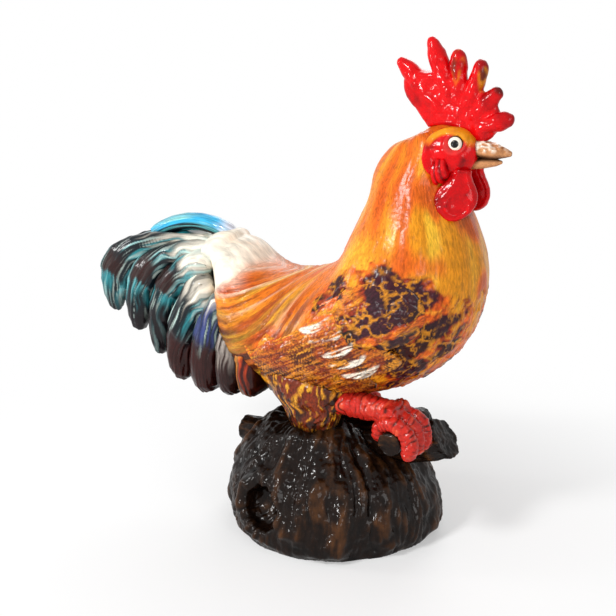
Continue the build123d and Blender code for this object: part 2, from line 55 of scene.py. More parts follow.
# Colours
def shade(red, green, blue):
    """A linear colour from its everyday 0 to 255 values."""
    value = np.array((red, green, blue)) / 255.0
    return np.where(value <= 0.04045, value / 12.92, ((value + 0.055) / 1.055) ** 2.4)


YELLOW = shade(240, 184, 52)
GOLD = shade(222, 142, 26)
ORANGE = shade(218, 96, 22)
RUST = shade(162, 52, 16)
MAROON = shade(56, 13, 11)
PLUM = shade(62, 24, 40)
BROWN = shade(84, 40, 16)
UMBER = shade(30, 15, 9)
CREAM = shade(244, 234, 216)
GREY = shade(150, 140, 132)
SILVER = shade(206, 212, 226)
TEAL = shade(40, 134, 142)
MINT = shade(132, 196, 196)
CYAN = shade(52, 170, 216)
INK = shade(8, 20, 26)
VIOLET = shade(54, 66, 124)
CHOCOLATE = shade(40, 15, 12)
RED = shade(206, 4, 11)
WINE = shade(126, 2, 8)
PINK = shade(226, 70, 66)
TAN = shade(192, 134, 88)
CORAL = shade(190, 40, 30)
SALMON = shade(226, 96, 62)
OXBLOOD = shade(78, 8, 6)
PITCH = shade(22, 11, 6)
# painted highlight colour for the ridges of the bark
RIDGE_HIGHLIGHT = shade(104, 64, 32)
BLACK = shade(10, 10, 10)


# Blends, distances and noise
def step(low, high, value):
    """Rises smoothly from 0 at low to 1 at high, or falls where low is the larger."""
    share = np.clip((value - low) / (high - low), 0.0, 1.0)
    return share * share * (3.0 - 2.0 * share)


def mix(under, over, share):
    """One colour laid over another."""
    share = np.clip(np.asarray(share), 0.0, 1.0)[..., None]
    return under * (1.0 - share) + over * share


def swell(distance, reach):
    """A rounded swell: 1 at no distance, nearly 0 at twice the reach."""
    return np.exp(-((distance / reach) ** 2))


def spread(values):
    """Values drawn out to run from 0 to 1."""
    return (values - values.min()) / (values.max() - values.min())


def box_of(node):
    """Lowest and highest corner of a solid's box in millimetres."""
    return [np.array(corner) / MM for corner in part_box(node)]


def middle_of(node):
    """Middle of a solid's box in millimetres."""
    low, high = box_of(node)
    return (low + high) / 2.0


def side_distance(spots, place):
    """Distance in the side view from a place, which has X first and Z last."""
    return np.hypot(spots[:, 0] - place[0], spots[:, 2] - place[-1])


def twin(spots):
    """The same points on the seen side."""
    return spots * MIRROR if spots[:, 1].mean() > 1.0 else spots


def scatter(first, second, third, seed):
    """Random shares for whole-numbered cells."""
    code = first * 374761393 + second * 668265263 + third * 362437 + seed * 1274126177
    code = (code ^ (code >> 13)) & 0x7FFFFFFF
    code = (code * 1103515245 + 12345) & 0x7FFFFFFF
    code = ((code ^ (code >> 15)) * 668265263) & 0x7FFFFFFF
    return ((code >> 4) & 0xFFFFF) / float(0xFFFFF)


def noise(places, seed):
    """Smooth noise between -1 and 1."""
    cell = np.floor(places).astype(np.int64)
    part = places - cell
    ease = part * part * (3.0 - 2.0 * part)
    total = np.zeros(len(places))
    for right in (0, 1):
        for back in (0, 1):
            for up in (0, 1):
                weight = ease[:, 0] if right else 1.0 - ease[:, 0]
                weight = weight * (ease[:, 1] if back else 1.0 - ease[:, 1])
                weight = weight * (ease[:, 2] if up else 1.0 - ease[:, 2])
                total += weight * scatter(cell[:, 0] + right, cell[:, 1] + back, cell[:, 2] + up, seed)
    return 2.0 * total - 1.0


def rough(places, seed, octaves):
    """Noise with finer and finer detail."""
    total = np.zeros(len(places))
    for octave in range(octaves):
        total += noise(places * 2.0 ** octave, seed + octave) * 0.5 ** octave
    return total / (2.0 - 0.5 ** (octaves - 1))


def strands(along, across, along_size, across_size, seed):
    """Noise drawn out along a flow."""
    return noise(np.stack((along / along_size, across / across_size, np.zeros_like(along)), axis=1), seed)


def web(places, size, seed):
    """Winding lines that net a surface."""
    first = step(0.1, 0.03, np.abs(rough(places / size, seed, 3)))
    second = step(0.09, 0.03, np.abs(rough(places / (0.6 * size) + 17.0, seed + 7, 3)))
    broken = step(-0.5, 0.1, noise(places / (0.45 * size), seed + 13))
    return np.maximum(first, 0.85 * second) * broken


def plumes(along, across, size, taper, seed):
    """Overlapping feathers of a length and width: height, share in from the rim, random share."""
    length, width = size
    height = np.full(along.shape, -1.0)
    inset = np.zeros_like(along)
    lot = np.zeros_like(along)
    for layer in (0, 1):
        lane = across / width + 0.5 * layer
        column = np.floor(lane).astype(np.int64)
        aside = np.abs(lane - column - 0.5) * 2.0
        run = along / length + scatter(column, 5 + layer, 7, seed)
        row = np.floor(run).astype(np.int64)
        go = run - row
        past = np.clip((go - taper) / (1.0 - taper), 0.0, 1.0)
        wide = np.sqrt(np.clip(1.0 - past * past, 0.0, 1.0))
        inner = 1.0 - aside / np.maximum(wide, 0.02)
        dome = np.sqrt(np.clip(inner * 1.6, 0.0, 1.0))
        tall = np.where(inner > 0.0, (0.3 + 0.7 * go) * dome, 0.0)
        better = tall > height
        height = np.where(better, tall, height)
        inset = np.where(better, np.clip(inner, 0.0, 1.0), inset)
        lot = np.where(better, scatter(column, row, 11 + layer, seed), lot)
    return height, inset, lot


# Finely meshed copies of the solids
def settle(piece):
    """Applies a copy's modifiers and returns its new mesh."""
    graph = bpy.context.evaluated_depsgraph_get()
    piece.data = bpy.data.meshes.new_from_object(piece.evaluated_get(graph))
    piece.modifiers.clear()
    return piece.data


def soften(piece, rounds):
    """A smoothing modifier on a copy."""
    soft = piece.modifiers.new("soft", "SMOOTH")
    soft.factor = 0.5
    soft.iterations = rounds
    return soft


def skin(node, voxel, relax, rounded=None):
    """A finely meshed copy of a solid, with its points and outward directions in millimetres."""
    piece = bpy.data.objects.new(node + "_skin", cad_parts[node].data.copy())
    scene.collection.objects.link(piece)
    finer = piece.modifiers.new("finer", "REMESH")
    finer.mode = "VOXEL"
    finer.voxel_size = voxel * DRAFT * MM
    soften(piece, relax)
    shape = settle(piece)
    if rounded:
        middle, reach, rounds = rounded
        group = piece.vertex_groups.new(name="rounded")
        for dot in shape.vertices:
            share = math.exp(-(((dot.co / MM - Vector(middle)).length / reach) ** 2))
            if share > 0.02:
                group.add([dot.index], share, "REPLACE")
        soften(piece, rounds).vertex_group = group.name
        shape = settle(piece)
    spots = np.empty(len(shape.vertices) * 3)
    shape.vertices.foreach_get("co", spots)
    outward = np.empty(len(shape.vertices) * 3)
    shape.vertices.foreach_get("normal", outward)
    return piece, spots.reshape(-1, 3) / MM, outward.reshape(-1, 3)


def dress(piece, node, spots, outward, lift, paint, flow, material):
    """Puts relief and paint on a copy and lets it stand for its solid."""
    shape = piece.data
    shape.vertices.foreach_set("co", ((spots + outward * lift[:, None]) * MM).ravel())
    tint = shape.attributes.new("paint", "FLOAT_COLOR", "POINT")
    tint.data.foreach_set("color", np.column_stack((paint, np.ones(len(paint)))).ravel())
    lay = shape.attributes.new("flow", "FLOAT_VECTOR", "POINT")
    lay.data.foreach_set("vector", flow.ravel())
    shape.shade_smooth()
    shape.update()
    shape.materials.clear()
    shape.materials.append(material)
    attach(piece, "root")
    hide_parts(node)


def lay_of(along, across):
    """Flow of the fine strokes, from the way along and across them."""
    return np.stack((along, across, np.zeros_like(along)), axis=1) * 0.1


# Materials
def set_inputs(node, values):
    for name, value in values.items():
        node.inputs[name].default_value = value


def add_node(tree, kind, **values):
    """A new node with its inputs set, where a name's underscores stand for spaces."""
    node = tree.nodes.new("ShaderNode" + kind)
    set_inputs(node, {name.replace("_", " "): value for name, value in values.items()})
    return node


def glaze(name, strokes, contrast, relief, roughness, coat, haze=0.1):
    """Varnished paint: the piece's own colours, broken by fine strokes along its flow."""
    material = bpy.data.materials.new(name)
    material.use_nodes = True
    tree = material.node_tree
    join = tree.links.new
    shader = tree.nodes["Principled BSDF"]
    set_inputs(shader, {"Roughness": roughness, "Specular IOR Level": 0.03,
                        "Coat Weight": coat, "Coat Roughness": haze})
    tint = add_node(tree, "Attribute")
    tint.attribute_name = "paint"
    lay = add_node(tree, "Attribute")
    lay.attribute_name = "flow"

    stretch = add_node(tree, "VectorMath")
    stretch.operation = "MULTIPLY"
    stretch.inputs[1].default_value = strokes
    join(lay.outputs["Vector"], stretch.inputs[0])
    grain = add_node(tree, "TexNoise", Scale=1.0, Detail=3.0, Roughness=0.6, Distortion=0.4)
    join(stretch.outputs["Vector"], grain.inputs["Vector"])
    value = add_node(tree, "MapRange", From_Min=0.3, From_Max=0.7,
                     To_Min=1.0 - contrast, To_Max=1.0 + contrast * 0.6)
    join(grain.outputs["Fac"], value.inputs["Value"])
    toned = add_node(tree, "HueSaturation")
    join(tint.outputs["Color"], toned.inputs["Color"])
    join(value.outputs["Result"], toned.inputs["Value"])
    join(toned.outputs["Color"], shader.inputs["Base Color"])
    bump = add_node(tree, "Bump", Strength=0.6, Distance=relief * MM)
    join(grain.outputs["Fac"], bump.inputs["Height"])
    join(bump.outputs["Normal"], shader.inputs["Normal"])

    place = add_node(tree, "TexCoord")
    peel = add_node(tree, "TexNoise", Scale=260.0, Detail=2.0)
    join(place.outputs["Object"], peel.inputs["Vector"])
    varnish = add_node(tree, "Bump", Strength=0.45, Distance=0.6 * MM)
    join(peel.outputs["Fac"], varnish.inputs["Height"])
    join(varnish.outputs["Normal"], shader.inputs["Coat Normal"])
    return material


HACKLE = glaze("hackle_paint", strokes=(2.6, 8.0, 1.0), contrast=0.4, relief=0.8,
               roughness=0.36, coat=0.3, haze=0.22)
FEATHER = glaze("feather_paint", strokes=(4.0, 9.0, 1.0), contrast=0.65, relief=0.9,
                roughness=0.34, coat=0.5)
QUILL = glaze("tail_paint", strokes=(0.5, 7.0, 1.0), contrast=0.5, relief=0.8, roughness=0.3, coat=0.5)
FLESH = glaze("flesh_paint", strokes=(2.2, 2.2, 2.2), contrast=0.2, relief=0.7, roughness=0.3, coat=0.3)
HORN = glaze("horn_paint", strokes=(4.0, 4.0, 4.0), contrast=0.25, relief=0.4, roughness=0.35, coat=0.3)
ENAMEL = glaze("eye_paint", strokes=(2.0, 2.0, 2.0), contrast=0.0, relief=0.05, roughness=0.15, coat=0.5)
SCALE = glaze("leg_paint", strokes=(4.0, 4.0, 4.0), contrast=0.3, relief=0.5, roughness=0.3, coat=0.35)
WOOD = glaze("bark_paint", strokes=(3.0, 3.0, 0.8), contrast=0.5, relief=1.2, roughness=0.3, coat=0.26)

# Mottled plumage of the breast and the wing's shoulder
# way along the feathers, middle and half sizes of the shoulder, as X and Z
WING_FLOW = np.array((-0.88, -0.47))
SHOULDER_MIDDLE = (46.0, 150.0)
SHOULDER_HALF = (27.0, 22.0)


def wing_place(spots):
    """Way along and across the wing's feathers."""
    along = spots[:, 0] * WING_FLOW[0] + spots[:, 2] * WING_FLOW[1]
    across = -spots[:, 0] * WING_FLOW[1] + spots[:, 2] * WING_FLOW[0]
    return along, across


def shoulder_share(spots):
    """0 at the middle of the wing's shoulder and 1 at its rim."""
    return np.hypot((spots[:, 0] - SHOULDER_MIDDLE[0]) / SHOULDER_HALF[0],
                    (spots[:, 2] - SHOULDER_MIDDLE[1]) / SHOULDER_HALF[1])


def mail(places, shift):
    """Dark dabs and gold threads, with more gold for a larger shift: colour and share of gold."""
    along, across = wing_place(places)
    dabs = rough(np.stack((along * 0.055, across * 0.13, places[:, 1] * 0.06), axis=1), 21, 4) + shift
    threads = web(places, 9.5, 23)
    under = mix(MAROON, UMBER, step(-0.4, 0.6, noise(places * 0.11, 25)))
    under = mix(under, PLUM, 0.6 * step(0.0, 0.6, noise(places * 0.04, 27)))
    under = mix(under, RUST, 0.7 * step(-0.09, 0.0, dabs))
    bright = mix(GOLD, ORANGE, step(-0.4, 0.4, noise(places * 0.09, 26)))
    bright = mix(bright, YELLOW, 0.4 * threads)
    specks = strands(along, across + places[:, 1], 5.0, 1.8, 28) + 0.3 * noise(places * 0.2, 29)
    bright = mix(bright, mix(RUST, MAROON, 0.4), 0.7 * step(0.1, 0.6, specks))
    gold = step(0.0, 0.13, dabs)
    return mix(mix(under, GOLD, 0.8 * threads), bright, gold), gold


# Body: neck cape, breast, belly and saddle
# swing about the pivot from straight down, inner radius, outer radius, half width
TORSO = np.array((
    (-48, 60, 93, 20),
    (-25, 58, 112, 36),
    (0, 56, 127, 47),
    (28, 49, 136, 52),
    (50, 44, 138, 51),
    (68, 45, 126, 44),
    (84, 48, 107, 33),
    (96, 51, 99, 24),
    (105, 57, 103, 18),
    (113, 66, 100, 12),
), dtype=float)
# mean radii that make lengths of the swing and of the way round
SWING_ARM = 95.0
TURN_ARM = 30.0
# length and width
CAPE_FEATHER = (40.0, 5.2)
BREAST_FEATHER = (13.0, 8.0)
# way along the trunk where the strands start to droop, and the way in which they bend
DROOP_START = -50.0
DROOP_BEND = 25.0
# middle, reach and rounds of smoothing
NAPE_ROUND = ((37.0, 0.0, 247.0), 15.0, 260)
NAPE_BULGE = np.array((30.0, 0.0, 229.0))
NAPE_REACH = 14.0
NAPE_HEIGHT = 3.4
NECK_HOLLOW = (2.0, 180.0)
HOLLOW_REACH = 17.0
HOLLOW_DEPTH = 5.5
REAR = np.array((-81.9, 0.0, 163.8))
REAR_WAY = np.array((-0.669, 0.0, 0.743))
REAR_SIDE = np.array((-REAR_WAY[2], 0.0, REAR_WAY[0]))
REAR_HALF = (17.0, 20.5)
REAR_HEIGHT = 12.0
# edges of painted areas in the side view, as X and Z
BREAST_EDGE = ((-40, 70), (-8, 118), (25, 164), (45, 176), (65, 178), (85, 164), (100, 148), (112, 132))
CREAM_EDGE = ((-100, 128), (-80, 137), (-58, 153), (-30, 161), (-20, 176))
# places between which an area fades in: along X, out along Y or along Z, or degrees of swing
CREAM_X = (-24.0, -36.0)
SADDLE_X = (35.0, 0.0)
SADDLE_Z = (165.0, 145.0)
SADDLE_LOW_Z = (142.0, 122.0)
SADDLE_DARK_X = (-12.0, -24.0)
BACK_X = (60.0, 20.0)
BACK_LOW_Z = (128.0, 150.0)
BACK_HIGH_Z = (215.0, 190.0)
BACK_PALE_X = (10.0, -20.0)
NAPE_GLOW_X = (26.0, 8.0)
NAPE_GLOW_Z = (178.0, 196.0)
BELLY_X = (-30.0, 0.0)
BELLY_Z = (112.0, 84.0)
THROAT_X = (70.0, 76.0)
THROAT_Y = (12.0, 7.0)
THROAT_LOW_Z = (200.0, 208.0)
THROAT_HIGH_Z = (228.0, 220.0)
COLLAR_Y = (20.0, 30.0)
BREAST_GOLD_X = (70.0, 104.0)
REAR_SWING = (-44.5, -46.5)
# forward lean of the nape's glow, from a foot at this height
NAPE_LEAN = 0.55
NAPE_FOOT = 175.0


def trunk_place(spots):
    """Swing along the trunk in degrees and way round it from the breast to the back in radians."""
    away = spots - PIVOT
    swing = np.degrees(np.arctan2(away[:, 0], -away[:, 2]))
    radius = np.hypot(away[:, 0], away[:, 2])
    inner, outer, half_width = [np.interp(swing, TORSO[:, 0], TORSO[:, column]) for column in (1, 2, 3)]
    turn = np.arctan2(np.abs(spots[:, 1]) / half_width, (2.0 * radius - inner - outer) / (outer - inner))
    return swing, turn


def above_edge(x, z, edge):
    """Height above an edge drawn in the side view."""
    return z - np.interp(x, *zip(*edge))


def saddle_share(x, z):
    return step(*SADDLE_X, x) * step(*SADDLE_Z, z)


def cape_paint(halved, along, across, wash, inset, lot):
    """Gold strands with orange and rust, off-white streaks on the back as a painted highlight, brown and
    maroon low on the saddle.
    """
    x, z = halved[:, 0], halved[:, 2]
    saddle = saddle_share(x, z)
    low = step(*SADDLE_LOW_Z, z)
    gold = mix(GOLD, YELLOW, step(-0.2, 0.7, wash))
    ember = 1.1 * noise(halved * 0.055, 10) + 0.6 * strands(along, across, 50.0, 6.0, 12)
    gold = mix(gold, ORANGE, 0.9 * step(-0.1, 0.6, ember))
    gold = mix(gold, mix(RUST, ORANGE, 0.5), 0.6 * step(0.4, 0.9, ember))
    gold = mix(gold, RUST, step(0.45, 0.1, inset) * (0.06 + 0.16 * lot + 0.35 * saddle))
    back = step(*BACK_X, x) * step(*BACK_LOW_Z, z) * step(*BACK_HIGH_Z, z)
    gold = mix(gold, mix(ORANGE, YELLOW, 0.6 * step(-0.3, 0.6, wash)), 0.7 * back)
    # painted highlight: off-white streaks over the upper back
    pale = step(*BACK_PALE_X, x) * step(-0.1, 0.6, strands(along, across, 34.0, 3.2, 16))
    gold = mix(gold, CREAM, 0.45 * back * pale)
    glow = step(*NAPE_GLOW_X, x - NAPE_LEAN * (z - NAPE_FOOT)) * step(*NAPE_GLOW_Z, z)
    gold = mix(gold, ORANGE, 0.35 * glow)
    brushed = saddle * step(-0.1, 0.5, strands(along, across, 30.0, 2.6, 14) + 0.5 * low)
    gold = mix(gold, mix(BROWN, RUST, lot), 0.7 * brushed)
    fine = step(0.1, 0.7, strands(along, across, 9.0, 1.7, 17))
    gold = mix(gold, RUST, (0.12 + 0.28 * saddle) * fine)
    dark = saddle * step(*SADDLE_DARK_X, x) * step(-0.25, 0.35, strands(along, across, 38.0, 4.5, 15))
    return mix(gold, MAROON, 0.9 * dark * low)


def body_swells(spots, outward, swing):
    """Rounded nape, hollow between neck and back, and domed rear."""
    nape = swell(np.linalg.norm(spots - NAPE_BULGE, axis=1), NAPE_REACH)
    hollow = swell(side_distance(spots, NECK_HOLLOW), HOLLOW_REACH)
    rear_out = ((spots - REAR) @ REAR_SIDE / REAR_HALF[0]) ** 2 + (spots[:, 1] / REAR_HALF[1]) ** 2
    rear_cap = step(0.6, 0.85, outward @ REAR_WAY) * step(*REAR_SWING, swing)
    dome = rear_cap * np.sqrt(np.clip(1.0 - rear_out, 0.0, 1.0))
    return NAPE_HEIGHT * nape - HOLLOW_DEPTH * hollow + REAR_HEIGHT * dome


def dress_body():
    piece, spots, outward = skin("body", voxel=1.1, relax=12, rounded=NAPE_ROUND)
    x, y, z = spots.T
    halved = np.stack((x, -np.abs(y), z), axis=1)
    swing, turn = trunk_place(spots)
    along = -np.radians(swing) * SWING_ARM
    droop = np.maximum(along - DROOP_START, 0.0)
    across = turn * TURN_ARM + 0.9 * droop * droop / (droop + DROOP_BEND)
    wander = noise(halved * 0.06, 3)
    drift = noise(halved * 0.11, 5)
    grit = noise(halved * 0.4, 6)
    wash = strands(along, across, 45.0, 7.0, 8)

    ragged = 8.0 * wander + 14.0 * rough(halved * 0.1, 11, 3)
    breast = step(-1.5, 2.5, ragged - above_edge(x, z, BREAST_EDGE))
    # top of the rear dome: partly cream paint, partly a painted highlight
    cream_and_highlight = step(-3.0, 9.0, above_edge(x, z, CREAM_EDGE) + 7.0 * wander)
    cream_and_highlight = cream_and_highlight * step(*CREAM_X, x + 6.0 * drift)
    belly = step(*BELLY_Z, z + 6.0 * wander) * step(*BELLY_X, x)
    throat = step(*THROAT_HIGH_Z, z) * step(*THROAT_LOW_Z, z)
    throat = throat * step(*THROAT_Y, np.abs(y)) * step(*THROAT_X, x)
    collar = step(1.55, 1.1, shoulder_share(spots) + 0.2 * drift) * step(*COLLAR_Y, np.abs(y))

    hackle, inset, lot = plumes(along + 5.0 * wander, across, CAPE_FEATHER, 0.35, 1)
    scales = plumes(along + 5.0 * wander, turn * TURN_ARM + 4.0 * drift, BREAST_FEATHER, 0.3, 2)[0]
    cape = hackle * (0.45 + 1.1 * saddle_share(x, z)) + 0.6 * strands(along, across, 60.0, 9.0, 4)
    lift = (1.0 - breast) * cape * (1.0 - cream_and_highlight) + 0.25 * drift
    lift = lift + breast * (scales * 1.1 + 0.5 * grit + 0.5 * noise(halved * 0.22, 7) - 0.9)
    lift = lift + body_swells(spots, outward, swing)

    dabbed, bright = mail(halved, 0.06 - 0.26 * collar - 0.12 * belly + 0.2 * step(*BREAST_GOLD_X, x))
    paint = cape_paint(halved, along, across, wash, inset, lot)
    paint = mix(paint, dabbed, np.maximum(breast, step(0.4, 0.55, collar + 0.35 * grit)))
    paint = mix(paint, UMBER, 0.6 * belly * (1.0 - 0.6 * bright))
    # top of the rear dome: partly cream paint, partly a painted highlight
    paint = mix(paint, mix(CREAM, GOLD, 0.3 * step(0.2, 0.9, wash)), cream_and_highlight)
    paint = mix(paint, CHOCOLATE, throat)
    flow = np.where(cream_and_highlight[:, None] > 0.5, spots * 0.03, lay_of(along, across))
    dress(piece, "body", spots, outward, lift, paint, flow, HACKLE)


# Wings: netted shoulder, pale covert strokes and fine lined primaries
# middles of the pale strokes and the way they run, as X and Z
STROKES = ((41.5, 118), (35.5, 124), (29.5, 130.5), (22.5, 136.5), (12, 141.5))
STROKE_WAY = np.array((0.906, 0.423))
STROKE_SIDE = np.array((-STROKE_WAY[1], STROKE_WAY[0]))
STROKE_HALF = 13.5
# length and width
SHOULDER_FEATHER = (10.0, 7.5)
LAYER_FEATHERS = {"primaries": (48.0, 5.6), "coverts": (20.0, 6.6)}
BARB = 2.4
# how deep the rims sink into the flank
SHOULDER_SINK = 6.0
BORDER_SINK = 5.0


def shoulder_look(near, wander, fine):
    """Relief, depth of the sunk rim and paint of the wing's shoulder."""
    along, across = wing_place(near)
    rim = shoulder_share(near)
    tall = plumes(along + 3.0 * wander, across + 2.0 * fine, SHOULDER_FEATHER, 0.3, 33)[0]
    sink = SHOULDER_SINK * step(0.55, 1.0, rim + 0.1 * wander)
    paint, bright = mail(near, -0.27 + 0.12 * step(0.6, 1.0, rim))
    lift = tall + 0.7 * fine + 0.25 * noise(near * 0.9, 33) + 0.4 * bright
    return lift, sink, paint


def feather_look(layer, near, wander, fine):
    """Relief, depth of the sunk border and paint of the coverts or the primaries."""
    along, across = wing_place(near)
    upper = spread(across)
    rear = spread(along)
    tall, inset, lot = plumes(along + 3.0 * wander, across + 0.8 * wander, LAYER_FEATHERS[layer], 0.5, 39)
    barbs = np.sin((along + 3.0 * inset + wander) * 2.0 * math.pi / BARB + 1.5 * fine)
    hair = strands(along, across, 7.0, 0.9, 38)
    lift = 1.2 * tall + 0.12 * barbs + 0.26 * hair - 0.6
    light = step(-0.2, 0.75, 0.35 * barbs + 0.8 * hair + 0.5 * fine + 0.3 * inset)
    bright = mix(mix(GOLD, ORANGE, 0.5), YELLOW, 0.4 * lot)
    paint = mix(mix(BROWN, MAROON, 0.8 * lot), bright, 0.9 * light)
    paint = mix(paint, RUST, 0.5 * step(-0.2, 0.6, wander + 0.3 * (1.0 - rear)))
    paint = mix(paint, UMBER, 0.8 * step(0.36, 0.1, inset + 0.1 * fine))
    topmost = step(0.42, 0.12, upper + 0.08 * wander + 0.05 * hair) * step(0.15, 0.45, rear)
    paint = mix(paint, mix(ORANGE, GOLD, step(-0.3, 0.5, hair)), 0.85 * topmost)
    if layer == "primaries":
        sink = step(0.36, 0.06, upper + 0.08 * wander)
        sink = BORDER_SINK * np.maximum(sink, step(0.84, 1.0, rear + 0.04 * wander))
        paint = mix(paint, UMBER, 0.5 * step(0.75, 1.0, upper) * step(0.4, 0.0, rear))
    else:
        sink = BORDER_SINK * step(0.36, 0.08, upper + 0.06 * wander)
    paint = mix(paint, mix(ORANGE, GOLD, step(-0.5, 0.5, hair)), 0.65 * step(0.3, 3.0, sink))
    return lift, sink, paint


def pale_strokes(near, wander):
    """The row of short bent strokes: their area and the share of paint in their streaks."""
    x, z = near[:, 0], near[:, 2]
    pale = np.zeros_like(x)
    for place in STROKES:
        over = np.stack((x - place[0], z - place[1]), axis=1)
        go = over @ STROKE_WAY
        off = over @ STROKE_SIDE - 0.02 * go * go
        wide = 2.0 * np.sqrt(np.clip(1.0 - (go / STROKE_HALF) ** 2, 0.0, 1.0))
        stroke = step(wide + 0.5, wide - 0.4, np.abs(off - 0.4 * wander))
        pale = np.maximum(pale, stroke * step(STROKE_HALF - 0.1, STROKE_HALF - 4.5, np.abs(go)))
    flat = near[:, [0, 2]]
    streak = step(-0.55, 0.15, strands(flat @ STROKE_WAY, flat @ STROKE_SIDE, 9.0, 0.9, 36))
    return pale, streak


def dress_wing(layer, hand):
    node = f"wing_{layer}_{hand}"
    piece, spots, outward = skin(node, voxel=0.6, relax=4)
    near = twin(spots)
    flow = lay_of(*wing_place(near))
    wander = noise(near * 0.12, 31)
    fine = noise(near * 0.45, 32)
    if layer == "shoulder":
        lift, sink, paint = shoulder_look(near, wander, fine)
    else:
        lift, sink, paint = feather_look(layer, near, wander, fine)
    pale, streak = pale_strokes(near, wander)
    paint = mix(paint, CREAM, 0.95 * pale * streak)
    lift = lift * (1.0 - 0.16 * sink) + 0.5 * pale
    spots[:, 1] -= np.sign(spots[:, 1]) * sink
    dress(piece, node, spots, outward, lift, paint, flow, FEATHER)


# Tail: teal and ink feathers with brown ends, pale at the root
# root, bend and tip of the feathers' crests in the side view, from the pivot
CRESTS = (
    ((-48, -45), (-150, -38), (-142, -100)),
    ((-47, -50), (-122, -42), (-120, -112)),
    ((-46, -54), (-104, -58), (-100, -116)),
    ((-41, -60), (-90, -92), (-86, -143)),
    ((-31, -66), (-62, -92), (-55, -139)),
    ((-23, -74), (-38, -99), (-34, -135)),
    ((-15, -78), (-22, -103), (-18, -132)),
)
TOP_CREST = ((-46, -41), (-76, -22), (-112, -45))
SICKLE_RUN = 110.0
TOP_RUN = 75.0
# share of each feather's length where its raised upper part ends, and height of its swollen root
UPPER_ENDS = (0.78, 0.68, 0.58, 0.56, 0.56, 0.56, 0.56)
ROOT_SWELLS = (0.0, 3.4, 6.2, 6.2, 3.4, 0.0, 0.0)
# distances out along Y between which the relief fades in
SICKLE_Y = (3.0, 6.5)
# distances from the middle of the brown patch between which it fades in, and where that middle lies
PATCH_HALF = (8.5, 5.0)
PATCH_MIDDLE = -1.5
# the top feather's thinning and drop
TOP_THINNING = 0.25
TOP_DROP = 0.6


def crest_place(spots, crest):
    """Share along a feather's crest and distance to its outer side, in the side view."""
    root, bend, tip = [np.array(place, dtype=float) + PIVOT[[0, 2]] for place in crest]
    share = np.linspace(0.0, 1.0, 81)[:, None]
    line = root * (1 - share) ** 2 + 2.0 * bend * share * (1 - share) + tip * share ** 2
    flat = spots[:, [0, 2]]
    apart = ((flat[:, None, :] - line[None, :, :]) ** 2).sum(axis=2)
    near = apart.argmin(axis=1)
    way = np.gradient(line, axis=0)
    way = way / np.linalg.norm(way, axis=1)[:, None]
    off = flat - line[near]
    across = way[near, 0] * off[:, 1] - way[near, 1] * off[:, 0]
    return share[near, 0], across


def teal_paint(hair, wash, thin):
    """Teal, mint and ink strands."""
    paint = mix(INK, TEAL, 0.9 * step(-0.1, 0.7, hair + 0.6 * wash))
    paint = mix(paint, mix(MINT, CREAM, 0.3), 0.65 * step(0.42, 0.8, hair))
    paint = mix(paint, mix(MINT, CREAM, 0.5), 0.45 * step(0.4, 0.8, thin))
    return mix(paint, INK, 0.6 * step(-0.35, -0.8, thin))


def outer_paint(paint, end, share, reach, across, hair, wash, wander):
    """Brown patch, teal rim and dark tip of the three outer feathers."""
    patch = step(end - 0.24, end - 0.14, reach) * step(end + 0.01, end - 0.03, reach)
    patch = patch * step(*PATCH_HALF, np.abs(across - PATCH_MIDDLE))
    paint = mix(paint, mix(CHOCOLATE, MAROON, 0.4 * step(0.1, 0.6, hair)), 0.95 * patch)
    rim = step(end - 0.03, end + 0.01, reach) * step(end + 0.14, end + 0.03, reach + 0.05 * wash)
    rim = rim * step(-0.6, 0.2, hair + wander)
    paint = mix(paint, mix(TEAL, MINT, 0.5 * step(0.0, 0.6, wash)), 0.7 * rim)
    tip = step(end + 0.1, end + 0.26, share + 0.08 * hair)
    return mix(paint, mix(INK, CHOCOLATE, 0.5), 0.8 * tip)


def middle_paint(paint, violet, share, hair):
    """Brown tips of the two middle feathers, the lower of them violet above."""
    if violet:
        paint = mix(paint, mix(VIOLET, INK, step(-0.2, 0.5, hair)), 0.8 * step(0.68, 0.5, share))
    paint = mix(paint, mix(CHOCOLATE, MAROON, 0.35), step(0.5, 0.68, share + 0.08 * hair))
    return mix(paint, mix(MINT, CREAM, 0.5), 0.5 * step(0.35, 0.7, hair) * step(0.62, 0.5, share))


def grey_paint(share, hair, wash):
    paint = mix(mix(GREY, UMBER, step(-0.3, 0.4, hair)), CREAM, 0.6 * step(0.35, 0.7, wash))
    return mix(paint, CHOCOLATE, step(0.45, 0.75, share + 0.1 * hair))


def rusty_paint(share, hair, wash):
    paint = mix(mix(MAROON, RUST, step(-0.1, 0.6, hair)), GOLD, 0.6 * step(0.15, 0.7, wash))
    return mix(paint, UMBER, 0.7 * step(0.6, 1.0, share))


